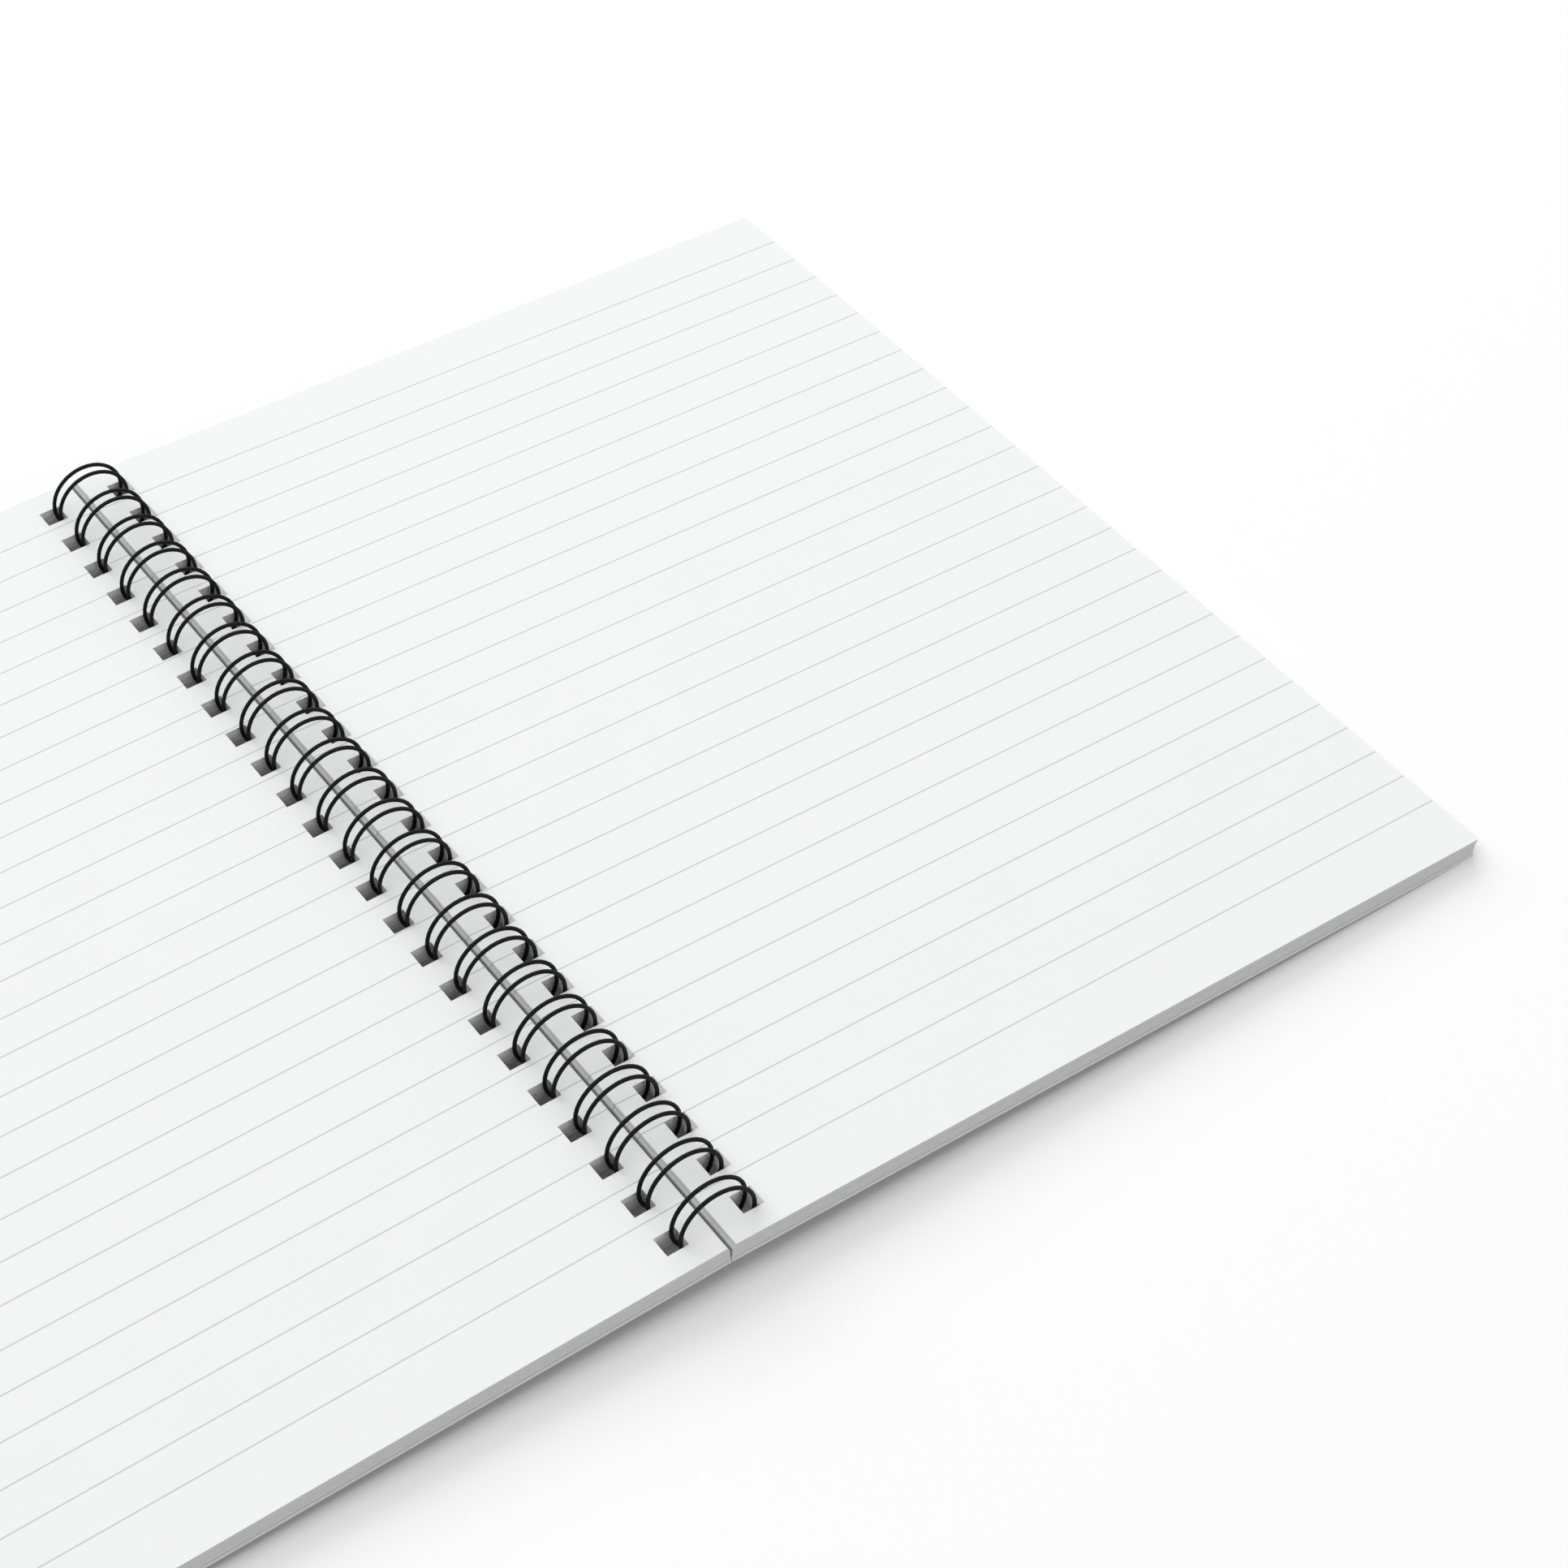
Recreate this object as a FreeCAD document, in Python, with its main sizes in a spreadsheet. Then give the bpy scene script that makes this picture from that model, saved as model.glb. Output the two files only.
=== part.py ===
import FreeCAD, Part
import Sketcher
import math
import os

from FreeCAD import Placement, Rotation, Vector

# An open wire-bound notebook lying face up on a table, in millimetres.
# X runs from the left pages to the right pages, Y along the spine to the head of the pages, Z up.
# The origin is on the table, under the middle of the gap between the two stacks.

# Driving dimensions. Every piece reads its sizes from the sheet that holds them.
DRIVING = [
    ("page_width", 147.3, "leaf, from its spine edge to its fore edge"),
    ("page_height", 210.0, "leaf, from foot to head"),
    ("leaves_thickness", 2.85, "one half of the leaves"),
    ("loose_leaves", 1.05, "upper leaves of each half, which have slipped outwards"),
    ("right_slip", 0.75, "how much nearer the spine the lower right leaves lie"),
    ("left_slip", 0.45, "how much nearer the spine the lower left leaves lie"),
    ("cover_thickness", 0.45, "card of both covers"),
    ("cover_clearance", 0.15, "air between a cover and its leaves"),
    ("spine_gap", 1.5, "between the top leaves of the two halves"),
    ("loop_pitch", 8.57, "from one double loop to the next"),
    ("row_shift", -0.4, "middle of the row of loops, from the middle of the page"),
    ("hole_side", 3.8, "square punched hole"),
    ("hole_inset", 5.97, "middle of a hole, from the spine edge"),
    ("wire_diameter", 0.7, "coated wire"),
    ("loop_radius", 6.55, "middle of the wire, from the axis of the loops"),
    ("loop_spread", 2.43, "between the two wires of a double loop"),
    ("loop_offset", 0.72, "axis of the loops, to the right of the middle of the gap"),
    ("loop_lift", 0.15, "axis of the loops, above the top leaves at the gap"),
    ("root_bend", 0.9, "bend from a loop into the straight run to the next"),
    ("seam_opening", 1.8, "open part of each loop, along the wire"),
    ("seam_angle", -60.0, "middle of the open part, below the horizontal"),
]

# Sizes that follow from the driving ones. The wire holds the stacks up at the spine,
# and each stack slopes down to meet the table at its outer edge.
DERIVED = [
    ("leaf_plane", "=loop_radius + wire_diameter / 2 - loop_lift", "top leaves at the gap, above the table"),
    ("stack_thickness", "=leaves_thickness + cover_clearance + cover_thickness", "leaves and cover"),
    ("loop_count", "=floor(page_height / loop_pitch)", "double loops that the page takes"),
    ("row_length", "=(loop_count - 1) * loop_pitch", "first hole to last hole"),
    ("first_hole", "=row_shift - row_length / 2", "hole nearest the foot, along the spine"),
    ("right_reach", "=spine_gap / 2 - right_slip + page_width", "outer edge of the back cover"),
    ("left_reach", "=spine_gap / 2 - left_slip + page_width", "outer edge of the front cover"),
    ("right_span", "=sqrt(right_reach ^ 2 + stack_thickness ^ 2)", "gap to the back cover's lower edge"),
    ("left_span", "=sqrt(left_reach ^ 2 + stack_thickness ^ 2)", "gap to the front cover's lower edge"),
    ("right_slope", "=asin(leaf_plane / right_span) - atan(stack_thickness / right_reach)", "fall in degrees"),
    ("left_slope", "=asin(leaf_plane / left_span) - atan(stack_thickness / left_reach)", "fall in degrees"),
]

RIGHT = 1
LEFT = -1
SIDE_NAMES = {RIGHT: "right", LEFT: "left"}
ALONG_SPINE = Vector(0, 1, 0)

doc = FreeCAD.newDocument("WireBoundNotebook")


def fill_sheet():
    """Write every size into the sheet, one row each, with its alias in the middle column."""
    sheet = doc.addObject("Spreadsheet::Sheet", "Sizes")
    for row, (alias, value, meaning) in enumerate(DRIVING + DERIVED, start=1):
        sheet.set(f"A{row}", meaning)
        sheet.set(f"B{row}", str(value))
        sheet.setAlias(f"B{row}", alias)
    doc.recompute()
    return sheet


def size(alias):
    """The number in the sheet, for the shapes that no expression can drive."""
    value = sheet.get(alias)
    return getattr(value, "Value", value)


def from_gap(side, distance, slip):
    """Expression for a place out from the gap, on a leaf or cover that slipped inwards."""
    return f"{side} * (Sizes.spine_gap / 2 - {slip} + {distance})"


def origin_plane(body, role):
    return next(feature for feature in body.Origin.OriginFeatures if feature.Role == role)


def new_sketch(body, role, name, depth="0"):
    """An empty sketch on one of the body's own planes, lowered by a depth."""
    sketch = body.newObject("Sketcher::SketchObject", name)
    sketch.AttachmentSupport = (origin_plane(body, role), [""])
    sketch.MapMode = "FlatFace"
    if depth != "0":
        sketch.setExpression("AttachmentOffset.Base.z", f"-({depth})")
    return sketch


def draw_rectangle(sketch, left, right, bottom, top):
    """A rectangle held by its distances from the sketch's origin, given as expressions."""
    corners = [Vector(0, 0, 0), Vector(1, 0, 0), Vector(1, 1, 0), Vector(0, 1, 0)]
    for start, end in zip(corners, corners[1:] + corners[:1]):
        sketch.addGeometry(Part.LineSegment(start, end), False)
    for line in range(4):
        sketch.addConstraint(Sketcher.Constraint("Coincident", line, 2, (line + 1) % 4, 1))
        sketch.addConstraint(Sketcher.Constraint(("Horizontal", "Vertical")[line % 2], line))
    places = [("DistanceX", 3, left, 0.0), ("DistanceX", 1, right, 1.0),
              ("DistanceY", 0, bottom, 0.0), ("DistanceY", 2, top, 1.0)]
    for kind, line, place, start_value in places:
        index = sketch.addConstraint(Sketcher.Constraint(kind, -1, 1, line, 1, start_value))
        sketch.setExpression(f"Constraints[{index}]", place)


def add_layer(body, name, side, slip, top, bottom):
    """A flat layer between two depths below the top leaves, as long as the page is high."""
    sketch = new_sketch(body, "XZ_Plane", f"{name}_section")
    inner = from_gap(side, "0", slip)
    outer = from_gap(side, "Sizes.page_width", slip)
    draw_rectangle(sketch, inner, outer, f"-({bottom})", f"-({top})")
    pad = body.newObject("PartDesign::Pad", name)
    pad.Profile = sketch
    pad.SideType = "Symmetric"
    pad.setExpression("Length", "Sizes.page_height")
    return pad


def punch_hole(body, name, side, slip, top, bottom):
    """The square hole nearest the foot, cut downwards through one layer."""
    sketch = new_sketch(body, "XY_Plane", f"{name}_outline", depth=top)
    near = from_gap(side, "Sizes.hole_inset - Sizes.hole_side / 2", slip)
    far = from_gap(side, "Sizes.hole_inset + Sizes.hole_side / 2", slip)
    foot = "Sizes.first_hole - Sizes.hole_side / 2"
    head = "Sizes.first_hole + Sizes.hole_side / 2"
    draw_rectangle(sketch, near, far, foot, head)
    hole = body.newObject("PartDesign::Pocket", name)
    hole.Profile = sketch
    hole.Reversed = False
    hole.setExpression("Length", f"{bottom} - ({top})")
    return hole


def repeat_holes(body, holes):
    """One row of holes, from the foot to the head of the page."""
    row = body.newObject("PartDesign::LinearPattern", f"{body.Name}_hole_row")
    row.Originals = holes
    row.Direction = (holes[0].Profile[0], ["V_Axis"])
    row.setExpression("Length", "Sizes.row_length")
    row.setExpression("Occurrences", "Sizes.loop_count")
    body.Tip = row
    return row


def build_stack_piece(name, side, layers):
    """A body of punched layers that falls from the gap to the table on its own side."""
    body = doc.addObject("PartDesign::Body", name)
    body.Label = name
    for layer, slip, top, bottom in layers:
        add_layer(body, f"{name}_{layer}", side, slip, top, bottom)
    holes = [punch_hole(body, f"{name}_{layer}_hole", side, slip, top, bottom)
             for layer, slip, top, bottom in layers]
    repeat_holes(body, holes)
    body.Placement = Placement(Vector(0, 0, size("leaf_plane")), Rotation(ALONG_SPINE * side, 1))
    body.setExpression("Placement.Base.z", "Sizes.leaf_plane")
    body.setExpression("Placement.Rotation.Angle", f"Sizes.{SIDE_NAMES[side]}_slope")
    return body


def build_pages(side):
    """Half of the leaves: the upper ones have slipped outwards over the lower ones."""
    slip = f"Sizes.{SIDE_NAMES[side]}_slip"
    upper = ("upper_leaves", "0", "0", "Sizes.loose_leaves")
    lower = ("lower_leaves", slip, "Sizes.loose_leaves", "Sizes.leaves_thickness")
    return build_stack_piece(f"{SIDE_NAMES[side]}_pages", side, [upper, lower])


def build_cover(name, side):
    """One card cover, just clear of the leaves that lie on it."""
    slip = f"Sizes.{SIDE_NAMES[side]}_slip"
    inner_face = "Sizes.leaves_thickness + Sizes.cover_clearance"
    return build_stack_piece(name, side, [("card", slip, inner_face, "Sizes.stack_thickness")])


def loop_point(angle, along, inwards=0.0):
    """A point of the wire's middle line, by its angle round the axis of the loops."""
    radius = size("loop_radius")
    x = size("loop_offset") + radius * math.cos(angle) - inwards * math.sin(angle)
    z = radius + size("wire_diameter") / 2 + radius * math.sin(angle) + inwards * math.cos(angle)
    return Vector(x, along, z)


def arc(start, middle, end):
    return Part.Arc(start, middle, end).toShape()


def double_loop(start_angle, end_angle, middle):
    """Up and over on one wire, round the rounded tip, and back on the other."""
    half_spread = size("loop_spread") / 2
    top_angle = (start_angle + end_angle) / 2
    foot_wire = [loop_point(angle, middle - half_spread) for angle in (start_angle, top_angle, end_angle)]
    head_wire = [loop_point(angle, middle + half_spread) for angle in (end_angle, top_angle, start_angle)]
    tip = loop_point(end_angle, middle, half_spread)
    return [arc(*foot_wire), arc(foot_wire[-1], tip, head_wire[0]), arc(*head_wire)]


def straight_run(angle, start, end):
    """From one double loop to the next: a bend, a straight part and a bend."""
    bend = size("root_bend")
    part_way = bend * math.sqrt(0.5)
    leaving = [loop_point(angle, start), loop_point(angle, start + bend - part_way, -part_way),
               loop_point(angle, start + bend, -bend)]
    arriving = [loop_point(angle, end - bend, -bend), loop_point(angle, end - bend + part_way, -part_way),
                loop_point(angle, end)]
    return [arc(*leaving), Part.makeLine(leaving[-1], arriving[0]), arc(*arriving)]


def wire_path():
    """The middle line of the whole wire, from the foot to the head of the spine."""
    open_angle = size("seam_opening") / size("loop_radius")
    start_angle = math.radians(size("seam_angle")) + open_angle / 2
    end_angle = start_angle + 2 * math.pi - open_angle
    half_spread = size("loop_spread") / 2
    count = int(size("loop_count"))
    edges = []
    for number in range(count):
        middle = size("first_hole") + number * size("loop_pitch")
        edges += double_loop(start_angle, end_angle, middle)
        if number < count - 1:
            next_loop = middle + size("loop_pitch") - half_spread
            edges += straight_run(start_angle, middle + half_spread, next_loop)
    return Part.Wire(edges)


def build_wire(name):
    """One round wire, swept along its path through every hole of both halves."""
    path = doc.addObject("Part::Feature", f"{name}_path")
    path.Shape = wire_path()
    first_edge = path.Shape.Edges[0]
    section = doc.addObject("Part::Circle", f"{name}_section")
    section.setExpression("Radius", "Sizes.wire_diameter / 2")
    start = first_edge.valueAt(first_edge.FirstParameter)
    direction = first_edge.tangentAt(first_edge.FirstParameter)
    section.Placement = Placement(start, Rotation(Vector(0, 0, 1), direction))
    wire = doc.addObject("Part::Sweep", name)
    wire.Label = name
    wire.Sections = [section]
    wire.Spine = (path, [f"Edge{number + 1}" for number in range(len(path.Shape.Edges))])
    wire.Solid = True
    wire.Frenet = False
    return wire


def expected_volume(piece, wire):
    """What a piece should hold: a layer less its holes, or the wire's section along its path."""
    if piece is wire:
        return math.pi * size("wire_diameter") ** 2 / 4 * wire_path().Length
    punched_area = size("page_width") * size("page_height") - size("loop_count") * size("hole_side") ** 2
    thickness = "leaves_thickness" if "pages" in piece.Label else "cover_thickness"
    return punched_area * size(thickness)


def check_and_export(pieces, wire):
    for item in doc.Objects:
        if {"Invalid", "Error"} & set(item.State):
            raise RuntimeError(f"{item.Name} did not build: {item.State}")
    for piece in pieces:
        shape = piece.Shape
        if shape.isNull() or not shape.isValid() or len(shape.Solids) != 1:
            raise RuntimeError(f"{piece.Label} is not one valid solid")
        expected = expected_volume(piece, wire)
        if abs(shape.Volume - expected) > 0.001 * expected:
            raise RuntimeError(f"{piece.Label} holds {shape.Volume:.1f} mm3 and not {expected:.1f}")
        shape.exportStep(f"parts/{piece.Label}.step")
        print(piece.Label, round(shape.Volume, 1), "mm3")


os.makedirs("parts", exist_ok=True)
sheet = fill_sheet()
wire = build_wire("twin_loop_wire")
pieces = [
    build_pages(RIGHT),
    build_pages(LEFT),
    build_cover("back_cover", RIGHT),
    build_cover("front_cover", LEFT),
    wire,
]
doc.recompute()
check_and_export(pieces, wire)
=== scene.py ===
"""Open wire-bound notebook: ruled leaves, card covers and a black double-loop wire on a pale table."""

import math
import random

import bmesh
import bpy
from mathutils import Euler, Matrix, Vector


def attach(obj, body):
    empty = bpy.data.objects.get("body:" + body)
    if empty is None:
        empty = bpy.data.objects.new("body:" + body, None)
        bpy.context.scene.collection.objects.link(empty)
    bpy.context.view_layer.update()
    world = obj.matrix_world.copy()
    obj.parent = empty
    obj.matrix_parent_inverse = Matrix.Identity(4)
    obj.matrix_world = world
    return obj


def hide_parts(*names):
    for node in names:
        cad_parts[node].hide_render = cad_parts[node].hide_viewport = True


bl_info = {
    "name": "Open wire-bound notebook",
    "version": (1, 0, 0),
    "blender": (4, 5, 0),
    "location": "View3D > Sidebar > Notebook",
    "description": "Dresses an open notebook with ruled leaves, card covers and a double-loop wire",
    "category": "Object",
}

# Everything is in metres: +X to the right pages, +Y to the head of the page, +Z up from the table.
# The origin is on the table, under the middle of the gap between the two halves.
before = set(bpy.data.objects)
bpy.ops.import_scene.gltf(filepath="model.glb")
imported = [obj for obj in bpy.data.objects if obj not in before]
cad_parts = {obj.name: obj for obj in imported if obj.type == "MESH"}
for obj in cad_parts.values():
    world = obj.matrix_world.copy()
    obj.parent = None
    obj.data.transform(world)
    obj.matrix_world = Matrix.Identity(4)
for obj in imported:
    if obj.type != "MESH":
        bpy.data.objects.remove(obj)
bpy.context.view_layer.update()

RIGHT = 1
LEFT = -1
SPINE_DIRECTION = Vector((0.0, 1.0, 0.0))

LEAF_FILL = 0.97  # a leaf's share of its place in the stack; the rest is air
STRAYS_SEED = 7
FACING_LIMIT = 0.7  # how far a normal lies along an axis on a face that looks that way
WIRE_SEGMENTS = 14
LOOP_STEPS = 36
TIP_STEPS = 10
ROOT_STEPS = 5
WELD_DISTANCE = 0.000001
TABLE_SIZE = 4.0
TABLE_GLOW = 0.028  # what the table shines with to the camera, near the notebook
GLOW_RISE = 0.6  # what it gains with every metre from the notebook
GLOW_DELAY = 0.25
SENSOR_WIDTH = 36.0
CLIP_START = 0.01

# Each lamp's name, place, width, depth and the setting that holds its power. All look at the origin.
LAMPS = (
    ("wall_panel", (0.5, 2.8, 1.75), 4.4, 2.2, "wall_light"),
    ("front_panel", (0.8, -2.6, 0.9), 2.5, 1.2, "front_light"),
    ("top_panel", (-0.7, 0.5, 2.9), 3.2, 3.2, "top_light"),
)

# The Mix node has a set of sockets for each type of data; these are the ones for colours.
MIX_FACTOR, MIX_FIRST, MIX_SECOND, MIX_RESULT = 0, 6, 7, 2


class PaperSettings(bpy.types.PropertyGroup):
    """Sizes and colours of the ruled leaves."""

    width: bpy.props.FloatProperty(
        name="Width", description="Leaf from spine edge to fore edge", default=0.1473, unit="LENGTH")
    height: bpy.props.FloatProperty(
        name="Height", description="Leaf from foot to head", default=0.210, unit="LENGTH")
    stack: bpy.props.FloatProperty(
        name="Stack", description="Thickness of one half of the leaves", default=0.00285, unit="LENGTH")
    leaves: bpy.props.IntProperty(
        name="Leaves", description="Leaves in one half", default=28, min=2)
    right_slip: bpy.props.FloatProperty(
        name="Right slip", description="How much nearer the spine the lowest right leaf lies",
        default=0.00075, unit="LENGTH")
    left_slip: bpy.props.FloatProperty(
        name="Left slip", description="How much nearer the spine the lowest left leaf lies",
        default=0.00045, unit="LENGTH")
    loose: bpy.props.FloatProperty(
        name="Loose depth", description="Depth of the upper leaves, which fan out most",
        default=0.0008, unit="LENGTH")
    loose_share: bpy.props.FloatProperty(
        name="Loose share", description="Part of the slip that the loose leaves take up",
        default=0.62, subtype="FACTOR")
    trim: bpy.props.FloatProperty(
        name="Trim", description="How far the covers stand out at the foot and the head",
        default=0.00018, unit="LENGTH")
    unevenness: bpy.props.FloatProperty(
        name="Unevenness", description="Largest stray of a single leaf", default=0.00004, unit="LENGTH")
    gap: bpy.props.FloatProperty(
        name="Gap", description="Between the top leaves of the two halves", default=0.0015, unit="LENGTH")
    first_line: bpy.props.FloatProperty(
        name="First line", description="Top ruled line above the middle of the page",
        default=0.09494, unit="LENGTH")
    line_pitch: bpy.props.FloatProperty(
        name="Line pitch", description="Between two ruled lines", default=0.006994, unit="LENGTH")
    line_count: bpy.props.IntProperty(name="Lines", description="Ruled lines on a page", default=28, min=1)
    line_width: bpy.props.FloatProperty(
        name="Line width", description="Width of a printed line", default=0.00026, unit="LENGTH")
    colour: bpy.props.FloatVectorProperty(
        name="Paper", description="Colour of the paper", subtype="COLOR", size=3, default=(0.895, 0.897, 0.9))
    line_colour: bpy.props.FloatVectorProperty(
        name="Lines", description="Colour of the ruled lines", subtype="COLOR", size=3,
        default=(0.62, 0.625, 0.63))
    # Painted shade: the dark grey of the cut edges at the spine stands in for the shade deep in the narrow gap
    # between the two halves.
    spine_shade_colour: bpy.props.FloatVectorProperty(
        name="Spine edge", description="Colour of the edges at the spine, where the leaves stand apart",
        subtype="COLOR", size=3, default=(0.3, 0.3, 0.3))
    edge_colour: bpy.props.FloatVectorProperty(
        name="Cut edge", description="Colour of the cut edges", subtype="COLOR", size=3,
        default=(0.88, 0.88, 0.88))


class HoleSettings(bpy.types.PropertyGroup):
    """The row of punched holes."""

    side: bpy.props.FloatProperty(
        name="Side", description="Side of a square hole", default=0.0038, unit="LENGTH")
    inset: bpy.props.FloatProperty(
        name="Inset", description="Middle of a hole from the spine edge", default=0.00597, unit="LENGTH")
    count: bpy.props.IntProperty(name="Count", description="Holes in the row", default=24, min=1)
    pitch: bpy.props.FloatProperty(
        name="Pitch", description="From one hole to the next", default=0.00857, unit="LENGTH")
    shift: bpy.props.FloatProperty(
        name="Shift", description="Middle of the row above the middle of the page",
        default=-0.0004, unit="LENGTH")


class WireSettings(bpy.types.PropertyGroup):
    """Shape and colour of the double-loop wire."""

    diameter: bpy.props.FloatProperty(
        name="Diameter", description="Coated wire", default=0.0007, unit="LENGTH")
    radius: bpy.props.FloatProperty(
        name="Loop radius", description="Middle of the wire from the axis", default=0.00655, unit="LENGTH")
    spread: bpy.props.FloatProperty(
        name="Spread", description="Between the two wires of a loop", default=0.00243, unit="LENGTH")
    offset: bpy.props.FloatProperty(
        name="Offset", description="Axis to the right of the middle of the gap", default=0.00072, unit="LENGTH")
    lift: bpy.props.FloatProperty(
        name="Lift", description="Axis above the top leaves at the gap", default=0.00015, unit="LENGTH")
    bend: bpy.props.FloatProperty(
        name="Root bend", description="Bend into the run to the next loop", default=0.0009, unit="LENGTH")
    opening: bpy.props.FloatProperty(
        name="Opening", description="Open part of a loop along the wire", default=0.0018, unit="LENGTH")
    seam: bpy.props.FloatProperty(
        name="Seam", description="Middle of the open part", default=math.radians(-60), subtype="ANGLE")
    colour: bpy.props.FloatVectorProperty(
        name="Coat", description="Colour of the coat", subtype="COLOR", size=3, default=(0.002, 0.002, 0.002))


class CoverSettings(bpy.types.PropertyGroup):
    """Finish of the card covers."""

    thickness: bpy.props.FloatProperty(
        name="Thickness", description="Card", default=0.00045, unit="LENGTH")
    clearance: bpy.props.FloatProperty(
        name="Clearance", description="Air under the leaves", default=0.00015, unit="LENGTH")
    colour: bpy.props.FloatVectorProperty(
        name="Card", description="Colour of the card", subtype="COLOR", size=3, default=(0.94, 0.94, 0.935))
    # Painted highlight: the cut edges are lighter than the card's face, standing in for the lit line along the
    # covers' edges.
    edge_colour: bpy.props.FloatVectorProperty(
        name="Cut edge", description="Colour of the cut edges", subtype="COLOR", size=3,
        default=(0.98, 0.98, 0.98))


class StageSettings(bpy.types.PropertyGroup):
    """Camera, table and lamps."""

    camera_place: bpy.props.FloatVectorProperty(
        name="Camera", description="Where the camera stands", subtype="TRANSLATION", size=3,
        default=(-0.169338, -0.356548, 0.405830))
    camera_turn: bpy.props.FloatVectorProperty(
        name="Camera turn", description="How the camera is turned", subtype="EULER", size=3,
        default=(math.radians(44.914576), math.radians(-0.091392), math.radians(-35.234602)))
    lens: bpy.props.FloatProperty(
        name="Lens", description="Focal length in millimetres", default=78.727)
    bounce_colour: bpy.props.FloatVectorProperty(
        name="Bounce", description="Colour of the table for the light that it throws back",
        subtype="COLOR", size=3, default=(0.35, 0.35, 0.35))
    table_colour: bpy.props.FloatVectorProperty(
        name="Table", description="Colour of the table", subtype="COLOR", size=3, default=(0.97, 0.97, 0.97))
    front_light: bpy.props.FloatProperty(
        name="Front light", description="Power of the weak panel in front of the notebook", default=19.0)
    sky: bpy.props.FloatProperty(
        name="Sky", description="Even light from all round", default=0.25)
    wall_light: bpy.props.FloatProperty(
        name="Wall light", description="Power of the soft panel behind the notebook", default=85.0)
    top_light: bpy.props.FloatProperty(
        name="Top light", description="Power of the soft panel overhead", default=50.5)


def settings(context, name):
    """The group of settings with this name."""
    return getattr(context.scene, f"notebook_{name}")


def leaf_plane(context):
    """Height of the top leaves at the gap, where the wire holds the two halves up."""
    wire = settings(context, "wire")
    return wire.radius + wire.diameter / 2 - wire.lift


def slip_of(context, side):
    """How much nearer the spine the lowest leaf of a half lies."""
    paper = settings(context, "paper")
    return paper.right_slip if side == RIGHT else paper.left_slip


def stack_place(context, side):
    """The turn and lift that lay a flat stack from the gap down to the table."""
    paper = settings(context, "paper")
    cover = settings(context, "cover")
    thickness = paper.stack + cover.clearance + cover.thickness
    reach = paper.gap / 2 - slip_of(context, side) + paper.width
    height = leaf_plane(context)
    fall = math.asin(height / math.hypot(reach, thickness)) - math.atan(thickness / reach)
    return Matrix.Translation((0, 0, height)) @ Matrix.Rotation(side * fall, 4, "Y")


def finished_object(name, bm, body, slot, *nodes):
    """A mesh object on its body, in place of the nodes that it stands for."""
    mesh = bpy.data.meshes.new(name)
    bm.to_mesh(mesh)
    bm.free()
    piece = bpy.data.objects.new(name, mesh)
    bpy.context.scene.collection.objects.link(piece)
    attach(piece, body)
    if nodes:
        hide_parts(*nodes)
    return piece


def new_material(name):
    """A material with only its shader and its output."""
    material = bpy.data.materials.new(name)
    material.use_nodes = True
    tree = material.node_tree
    tree.nodes.clear()
    output = tree.nodes.new("ShaderNodeOutputMaterial")
    shader = tree.nodes.new("ShaderNodeBsdfPrincipled")
    tree.links.new(shader.outputs["BSDF"], output.inputs["Surface"])
    return material, tree, shader


def math_node(tree, operation, first, second=None, third=None, clamp=False):
    """A Math node fed by numbers or by other nodes' outputs."""
    node = tree.nodes.new("ShaderNodeMath")
    node.operation = operation
    node.use_clamp = clamp
    for socket, value in zip(node.inputs, (first, second, third)):
        if value is None:
            continue
        if isinstance(value, (int, float)):
            socket.default_value = value
        else:
            tree.links.new(value, socket)
    return node.outputs[0]


def mix_colour(tree, factor, first, second, blend="MIX"):
    """A Mix node for colours, fed by numbers, colours or other nodes' outputs."""
    node = tree.nodes.new("ShaderNodeMix")
    node.data_type = "RGBA"
    node.blend_type = blend
    for number, value in ((MIX_FACTOR, factor), (MIX_FIRST, first), (MIX_SECOND, second)):
        socket = node.inputs[number]
        if isinstance(value, bpy.types.NodeSocket):
            tree.links.new(value, socket)
        elif isinstance(value, (int, float)):
            socket.default_value = value
        else:
            socket.default_value = (*value, 1.0)
    return node.outputs[MIX_RESULT]


def noise(tree, coordinates, scale, detail=3.0, roughness=0.5):
    node = tree.nodes.new("ShaderNodeTexNoise")
    node.inputs["Scale"].default_value = scale
    node.inputs["Detail"].default_value = detail
    node.inputs["Roughness"].default_value = roughness
    tree.links.new(coordinates, node.inputs["Vector"])
    return node.outputs["Fac"]


def facing(tree, place, axis):
    """One on the faces that look along an axis, either way."""
    normal = tree.nodes.new("ShaderNodeSeparateXYZ")
    tree.links.new(place.outputs["Normal"], normal.inputs["Vector"])
    along = math_node(tree, "ABSOLUTE", normal.outputs[axis])
    return math_node(tree, "GREATER_THAN", along, FACING_LIMIT)


def add_bump(tree, shader, height, distance, strength):
    bump = tree.nodes.new("ShaderNodeBump")
    bump.inputs["Distance"].default_value = distance
    bump.inputs["Strength"].default_value = strength
    tree.links.new(height, bump.inputs["Height"])
    tree.links.new(bump.outputs["Normal"], shader.inputs["Normal"])


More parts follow.
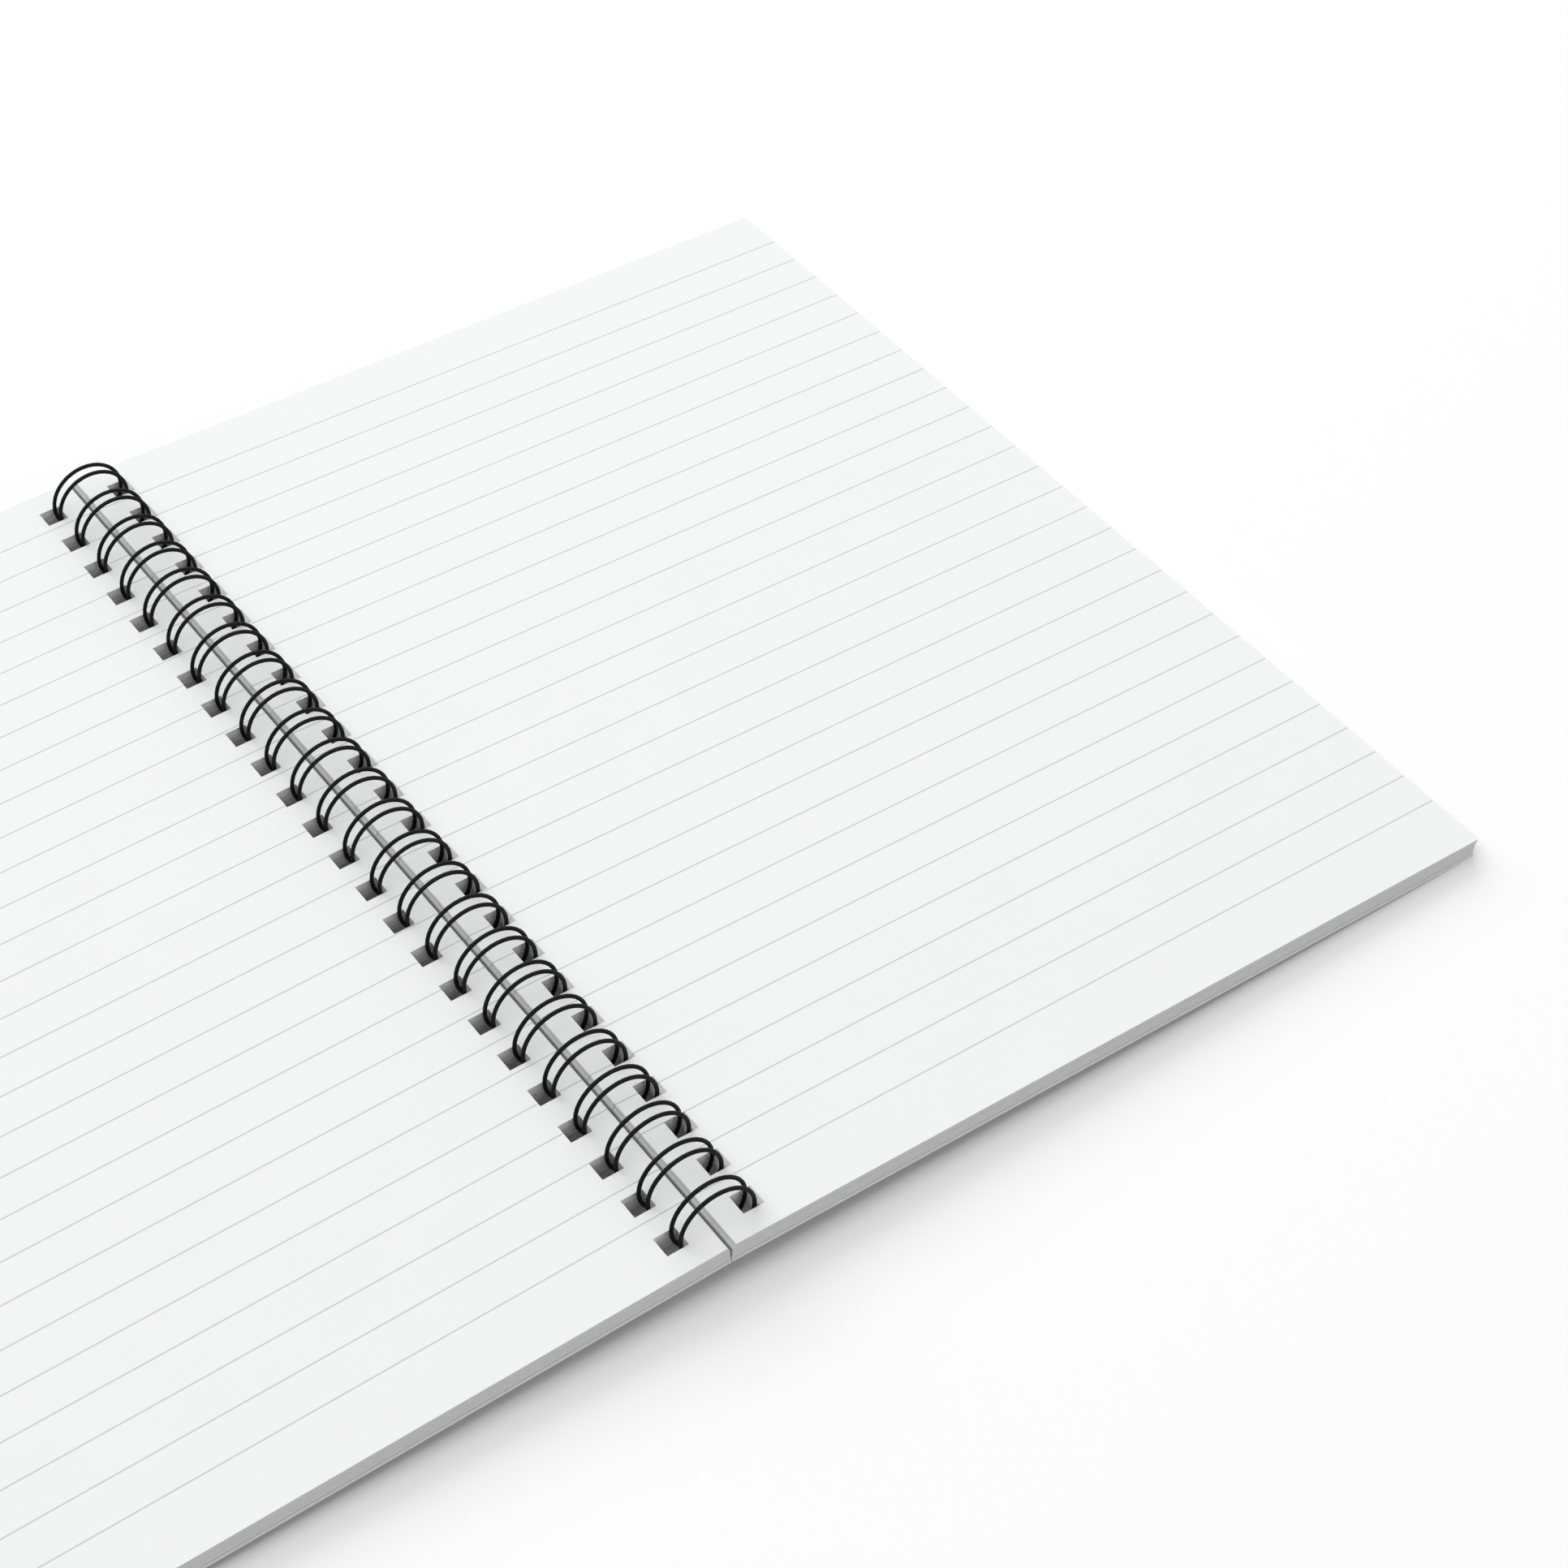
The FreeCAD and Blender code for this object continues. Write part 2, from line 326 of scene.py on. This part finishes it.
def ruled_paper_material(context):
    """White paper with grey lines across it, plain cut edges, and painted shade on the cut edges at the spine.
    """
    paper = settings(context, "paper")
    material, tree, shader = new_material("ruled_paper")
    shader.inputs["Roughness"].default_value = 0.85
    shader.inputs["Specular IOR Level"].default_value = 0.25
    place = tree.nodes.new("ShaderNodeTexCoord")
    where = tree.nodes.new("ShaderNodeSeparateXYZ")
    tree.links.new(place.outputs["Object"], where.inputs["Vector"])

    lines_down = math_node(tree, "SUBTRACT", paper.first_line, where.outputs["Y"])
    lines_down = math_node(tree, "DIVIDE", lines_down, paper.line_pitch)
    nearest = math_node(tree, "ROUND", lines_down)
    away = math_node(tree, "ABSOLUTE", math_node(tree, "SUBTRACT", lines_down, nearest))
    half_width = paper.line_width / 2 / paper.line_pitch
    ink = math_node(tree, "LESS_THAN", away, half_width)
    below_first = math_node(tree, "GREATER_THAN", nearest, -0.5)
    above_last = math_node(tree, "LESS_THAN", nearest, paper.line_count - 0.5)
    ink = math_node(tree, "MULTIPLY", math_node(tree, "MULTIPLY", ink, below_first), above_last)
    strays = noise(tree, place.outputs["Object"], 900.0)
    ink = math_node(tree, "MULTIPLY", ink, math_node(tree, "MULTIPLY_ADD", strays, 0.5, 0.72))

    cloud = noise(tree, place.outputs["Object"], 60.0, detail=5.0)
    cloud = math_node(tree, "MULTIPLY_ADD", cloud, 0.02, 0.99)
    sheet = mix_colour(tree, 1.0, paper.colour, cloud, blend="MULTIPLY")
    face = mix_colour(tree, ink, sheet, paper.line_colour)
    # Painted shade: sideways-facing cut edges within a gap's width of the spine take the dark spine colour, for
    # the shade in the gap between the halves.
    from_spine = math_node(tree, "ABSOLUTE", where.outputs["X"])
    spine_shade_mask = math_node(tree, "LESS_THAN", from_spine, paper.gap)
    spine_shade_mask = math_node(tree, "MULTIPLY", spine_shade_mask, facing(tree, place, "X"))
    edge = mix_colour(tree, spine_shade_mask, paper.edge_colour, paper.spine_shade_colour)
    colour = mix_colour(tree, facing(tree, place, "Z"), edge, face)
    tree.links.new(colour, shader.inputs["Base Color"])
    fibres = noise(tree, place.outputs["Object"], 5000.0, detail=4.0, roughness=0.6)
    add_bump(tree, shader, fibres, 0.00002, 0.25)
    return material


def card_material(context):
    """Light uncoated card, with a painted highlight on its cut edges."""
    cover = settings(context, "cover")
    material, tree, shader = new_material("cover_card")
    shader.inputs["Roughness"].default_value = 0.7
    shader.inputs["Specular IOR Level"].default_value = 0.35
    place = tree.nodes.new("ShaderNodeTexCoord")
    # Painted highlight: faces that do not look up or down take the lighter edge colour.
    card = mix_colour(tree, facing(tree, place, "Z"), cover.edge_colour, cover.colour)
    cloud = noise(tree, place.outputs["Object"], 90.0, detail=6.0)
    cloud = math_node(tree, "MULTIPLY_ADD", cloud, 0.05, 0.975)
    colour = mix_colour(tree, 1.0, card, cloud, blend="MULTIPLY")
    tree.links.new(colour, shader.inputs["Base Color"])
    fibres = noise(tree, place.outputs["Object"], 2500.0, detail=5.0, roughness=0.65)
    add_bump(tree, shader, fibres, 0.00004, 0.3)
    return material


def coated_wire_material(context):
    """Black nylon coat over steel, satin, with a faint unevenness along it."""
    wire = settings(context, "wire")
    material, tree, shader = new_material("coated_wire")
    shader.inputs["Specular IOR Level"].default_value = 0.12
    place = tree.nodes.new("ShaderNodeTexCoord")
    patches = noise(tree, place.outputs["Object"], 700.0, detail=3.0)
    roughness = math_node(tree, "MULTIPLY_ADD", patches, 0.2, 0.45)
    tree.links.new(roughness, shader.inputs["Roughness"])
    colour = mix_colour(tree, patches, wire.colour, [value * 1.8 for value in wire.colour])
    tree.links.new(colour, shader.inputs["Base Color"])
    ripples = noise(tree, place.outputs["Object"], 2600.0, detail=2.0)
    add_bump(tree, shader, ripples, 0.00002, 0.2)
    return material


def cut_across(bm, place, direction):
    """Cut all faces along a plane, and keep both sides."""
    geometry = bm.verts[:] + bm.edges[:] + bm.faces[:]
    bmesh.ops.bisect_plane(bm, geom=geometry, plane_co=place, plane_no=direction)


def single_leaf(context, side):
    """One flat leaf with its row of holes, its top face at zero height."""
    paper = settings(context, "paper")
    hole = settings(context, "hole")
    bm = bmesh.new()
    bmesh.ops.create_grid(bm, x_segments=1, y_segments=1, size=0.5)
    bmesh.ops.scale(bm, vec=(paper.width, paper.height - 2 * paper.trim, 1), verts=bm.verts)
    middle = side * (paper.gap / 2 + paper.width / 2)
    bmesh.ops.translate(bm, vec=(middle, 0, 0), verts=bm.verts)
    column = side * (paper.gap / 2 + hole.inset)
    for edge in (-hole.side / 2, hole.side / 2):
        cut_across(bm, (column + edge, 0, 0), (1, 0, 0))
    rows = [hole.shift + (number - (hole.count - 1) / 2) * hole.pitch for number in range(hole.count)]
    for row in rows:
        for edge in (-hole.side / 2, hole.side / 2):
            cut_across(bm, (0, row + edge, 0), (0, 1, 0))
    punched = []
    for face in bm.faces:
        centre = face.calc_center_median()
        in_column = abs(centre.x - column) < hole.side / 2
        if in_column and any(abs(centre.y - row) < hole.side / 2 for row in rows):
            punched.append(face)
    bmesh.ops.delete(bm, geom=punched, context="FACES")
    thickness = paper.stack / paper.leaves * LEAF_FILL
    extruded = bmesh.ops.extrude_face_region(bm, geom=bm.faces[:])
    lower = [item for item in extruded["geom"] if isinstance(item, bmesh.types.BMVert)]
    bmesh.ops.translate(bm, vec=(0, 0, -thickness), verts=lower)
    bmesh.ops.recalc_face_normals(bm, faces=bm.faces)
    leaf = bpy.data.meshes.new("single_leaf")
    bm.to_mesh(leaf)
    bm.free()
    return leaf


def leaf_offset(context, side, depth, strays):
    """How far a leaf at this depth lies from the top leaf's place."""
    paper = settings(context, "paper")
    quick = min(1, depth / paper.loose) * paper.loose_share
    steady = depth / paper.stack * (1 - paper.loose_share)
    inwards = slip_of(context, side) * (quick + steady)
    stray = strays.uniform(-1, 1) * paper.unevenness
    return Vector((side * (stray - inwards), strays.uniform(-1, 1) * paper.unevenness, -depth))


class NOTEBOOK_OT_leaves(bpy.types.Operator):
    """Lay both halves of the ruled leaves"""

    bl_idname = "notebook.leaves"
    bl_label = "Ruled leaves"

    def execute(self, context):
        paper = settings(context, "paper")
        material = ruled_paper_material(context)
        for side, node in ((RIGHT, "right_pages"), (LEFT, "left_pages")):
            leaf = single_leaf(context, side)
            strays = random.Random(STRAYS_SEED + side)
            bm = bmesh.new()
            for number in range(paper.leaves):
                already = len(bm.verts)
                bm.from_mesh(leaf)
                bm.verts.ensure_lookup_table()
                offset = leaf_offset(context, side, number * paper.stack / paper.leaves, strays)
                if number == 0:
                    offset = Vector()
                bmesh.ops.translate(bm, vec=offset, verts=bm.verts[already:])
            bmesh.ops.transform(bm, matrix=stack_place(context, side), verts=bm.verts)
            piece = finished_object(f"ruled_leaves_{node[:-6]}", bm, node, "ruled_paper", node)
            piece.data.materials.append(material)
            bpy.data.meshes.remove(leaf)
        return {"FINISHED"}


class NOTEBOOK_OT_covers(bpy.types.Operator):
    """Give both covers their card"""

    bl_idname = "notebook.covers"
    bl_label = "Card covers"

    def execute(self, context):
        material = card_material(context)
        for name in ("back_cover", "front_cover"):
            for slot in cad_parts[name].material_slots:
                slot.material = material
        return {"FINISHED"}


def turn_section(bm, section, centre, axis, angle, steps):
    """Carry the wire's section round a bend and give back its last ring."""
    turned = bmesh.ops.spin(bm, geom=section, cent=centre, axis=axis, angle=angle, steps=steps)
    return [item for item in turned["geom_last"] if isinstance(item, bmesh.types.BMEdge)]


def push_section(bm, section, way):
    """Carry the wire's section along a straight run and give back its last ring."""
    pushed = bmesh.ops.extrude_edge_only(bm, edges=section)["geom"]
    corners = [item for item in pushed if isinstance(item, bmesh.types.BMVert)]
    bmesh.ops.translate(bm, vec=way, verts=corners)
    ends = set(corners)
    return [item for item in pushed if isinstance(item, bmesh.types.BMEdge) and set(item.verts) <= ends]


def wire_section(wire, place, outwards, ahead):
    """A new bmesh with one ring of the wire at a place, and the ring's edges."""
    bm = bmesh.new()
    ring = bmesh.ops.create_circle(bm, segments=WIRE_SEGMENTS, radius=wire.diameter / 2)["verts"]
    facing = Matrix((outwards, SPINE_DIRECTION, ahead)).transposed().to_4x4()
    bmesh.ops.transform(bm, matrix=Matrix.Translation(place) @ facing, verts=ring)
    return bm, bm.edges[:]


def add_copy(bm, shape, way):
    """Add one bmesh to another, moved along."""
    mesh = bpy.data.meshes.new("copy")
    shape.to_mesh(mesh)
    mesh.transform(Matrix.Translation(way))
    bm.from_mesh(mesh)
    bpy.data.meshes.remove(mesh)


class NOTEBOOK_OT_wire(bpy.types.Operator):
    """Bend the double-loop wire through the holes"""

    bl_idname = "notebook.wire"
    bl_label = "Double-loop wire"

    def execute(self, context):
        wire = settings(context, "wire")
        hole = settings(context, "hole")
        opening = wire.opening / wire.radius
        start = wire.seam + opening / 2
        sweep = 2 * math.pi - opening
        axis_place = Vector((wire.offset, 0, wire.radius + wire.diameter / 2))
        root_out = Vector((math.cos(start), 0, math.sin(start)))
        tip_out = Vector((math.cos(start + sweep), 0, math.sin(start + sweep)))
        root_ahead = Vector((-math.sin(start), 0, math.cos(start)))
        root = axis_place + wire.radius * root_out
        tip = axis_place + wire.radius * tip_out

        ahead = wire.spread / 2 * SPINE_DIRECTION
        loop, section = wire_section(wire, root - ahead, root_out, root_ahead)
        section = turn_section(loop, section, axis_place, -SPINE_DIRECTION, sweep, LOOP_STEPS)
        section = turn_section(loop, section, tip, -tip_out, math.pi, TIP_STEPS)
        turn_section(loop, section, axis_place, SPINE_DIRECTION, sweep, LOOP_STEPS)

        run, section = wire_section(wire, root + ahead, root_out, root_ahead)
        leaving = root + ahead + wire.bend * SPINE_DIRECTION
        straight = (hole.pitch - wire.spread - 2 * wire.bend) * SPINE_DIRECTION
        section = turn_section(run, section, leaving, root_out, math.pi / 2, ROOT_STEPS)
        section = push_section(run, section, straight)
        turn_section(run, section, leaving + straight, root_out, math.pi / 2, ROOT_STEPS)

        bm = bmesh.new()
        for shape, copies in ((loop, hole.count), (run, hole.count - 1)):
            for number in range(copies):
                along = hole.shift + (number - (hole.count - 1) / 2) * hole.pitch
                add_copy(bm, shape, along * SPINE_DIRECTION)
        bmesh.ops.remove_doubles(bm, verts=bm.verts, dist=WELD_DISTANCE)
        bmesh.ops.holes_fill(bm, edges=[edge for edge in bm.edges if edge.is_boundary], sides=0)
        bmesh.ops.recalc_face_normals(bm, faces=bm.faces)
        for face in bm.faces:
            face.smooth = len(face.verts) == 4
        loop.free()
        run.free()
        piece = finished_object("double_loop_wire", bm, "root", "coated_wire", "twin_loop_wire")
        piece.data.materials.append(coated_wire_material(context))
        return {"FINISHED"}


def seen_directly(tree):
    """One for the camera, and for what is mirrored or seen through glass."""
    path = tree.nodes.new("ShaderNodeLightPath")
    seen = math_node(tree, "MAXIMUM", path.outputs["Is Camera Ray"], path.outputs["Is Glossy Ray"])
    return math_node(tree, "MAXIMUM", seen, path.outputs["Is Transmission Ray"])


def add_table(context):
    """A pale table that looks brighter to the camera than the light it throws back."""
    stage = settings(context, "stage")
    bm = bmesh.new()
    bmesh.ops.create_grid(bm, x_segments=1, y_segments=1, size=TABLE_SIZE)
    mesh = bpy.data.meshes.new("table")
    bm.to_mesh(mesh)
    bm.free()
    table = bpy.data.objects.new("table", mesh)
    context.scene.collection.objects.link(table)
    material, tree, shader = new_material("table_top")
    shader.inputs["Roughness"].default_value = 0.9
    shader.inputs["Specular IOR Level"].default_value = 0.0
    seen = seen_directly(tree)
    colour = mix_colour(tree, seen, stage.bounce_colour, stage.table_colour)
    tree.links.new(colour, shader.inputs["Base Color"])
    shader.inputs["Emission Color"].default_value = (1, 1, 1, 1)
    place = tree.nodes.new("ShaderNodeTexCoord")
    away = tree.nodes.new("ShaderNodeVectorMath")
    away.operation = "LENGTH"
    tree.links.new(place.outputs["Object"], away.inputs[0])
    far = math_node(tree, "MULTIPLY_ADD", away.outputs["Value"], GLOW_RISE, -GLOW_DELAY, clamp=True)
    glow = math_node(tree, "MULTIPLY", seen, math_node(tree, "ADD", far, TABLE_GLOW))
    tree.links.new(glow, shader.inputs["Emission Strength"])
    mesh.materials.append(material)


def add_sky(context):
    """Even light from all round, and plain white where the camera looks past the table."""
    stage = settings(context, "stage")
    world = bpy.data.worlds.new("studio")
    context.scene.world = world
    world.use_nodes = True
    tree = world.node_tree
    background = tree.nodes["Background"]
    background.inputs["Color"].default_value = (1, 1, 1, 1)
    seen = seen_directly(tree)
    strength = math_node(tree, "MULTIPLY_ADD", seen, 1.0 - stage.sky, stage.sky)
    tree.links.new(strength, background.inputs["Strength"])


def add_lamp(context, name, place, width, depth, power):
    lamp = bpy.data.lights.new(name, "AREA")
    lamp.shape = "RECTANGLE"
    lamp.size = width
    lamp.size_y = depth
    lamp.energy = power
    holder = bpy.data.objects.new(name, lamp)
    holder.location = place
    holder.rotation_euler = (-Vector(place)).to_track_quat("-Z", "Y").to_euler()
    context.scene.collection.objects.link(holder)


def add_camera(context):
    stage = settings(context, "stage")
    camera = bpy.data.cameras.new("camera")
    camera.sensor_width = SENSOR_WIDTH
    camera.lens = stage.lens
    camera.clip_start = CLIP_START
    holder = bpy.data.objects.new("camera", camera)
    holder.location = stage.camera_place
    holder.rotation_euler = Euler(stage.camera_turn)
    context.scene.collection.objects.link(holder)
    context.scene.camera = holder


class NOTEBOOK_OT_stage(bpy.types.Operator):
    """Set the table, the lamps and the camera"""

    bl_idname = "notebook.stage"
    bl_label = "Table, lamps and camera"

    def execute(self, context):
        stage = settings(context, "stage")
        add_table(context)
        add_sky(context)
        for name, place, width, depth, power in LAMPS:
            add_lamp(context, name, place, width, depth, getattr(stage, power))
        add_camera(context)
        context.scene.view_settings.view_transform = "Standard"
        return {"FINISHED"}


class NOTEBOOK_PT_build(bpy.types.Panel):
    """The settings and buttons, one box for each group"""

    bl_label = "Notebook"
    bl_idname = "NOTEBOOK_PT_build"
    bl_space_type = "VIEW_3D"
    bl_region_type = "UI"
    bl_category = "Notebook"

    def draw(self, context):
        layout = self.layout
        for name, operator in PANEL_ROWS:
            box = layout.box()
            group = settings(context, name)
            for prop in group.bl_rna.properties:
                if prop.identifier not in {"rna_type", "name"}:
                    box.prop(group, prop.identifier)
            if operator:
                box.operator(operator)


PANEL_ROWS = (
    ("hole", None),
    ("paper", "notebook.leaves"),
    ("cover", "notebook.covers"),
    ("wire", "notebook.wire"),
    ("stage", "notebook.stage"),
)

GROUPS = {
    "paper": PaperSettings,
    "hole": HoleSettings,
    "wire": WireSettings,
    "cover": CoverSettings,
    "stage": StageSettings,
}

CLASSES = (
    *GROUPS.values(),
    NOTEBOOK_OT_leaves,
    NOTEBOOK_OT_covers,
    NOTEBOOK_OT_wire,
    NOTEBOOK_OT_stage,
    NOTEBOOK_PT_build,
)


def register():
    for cls in CLASSES:
        bpy.utils.register_class(cls)
    for name, group in GROUPS.items():
        setattr(bpy.types.Scene, f"notebook_{name}", bpy.props.PointerProperty(type=group))


def unregister():
    for name in GROUPS:
        delattr(bpy.types.Scene, f"notebook_{name}")
    for cls in reversed(CLASSES):
        bpy.utils.unregister_class(cls)


def main():
    register()
    bpy.ops.notebook.leaves()
    bpy.ops.notebook.covers()
    bpy.ops.notebook.wire()
    bpy.ops.notebook.stage()


if __name__ == "__main__":
    main()
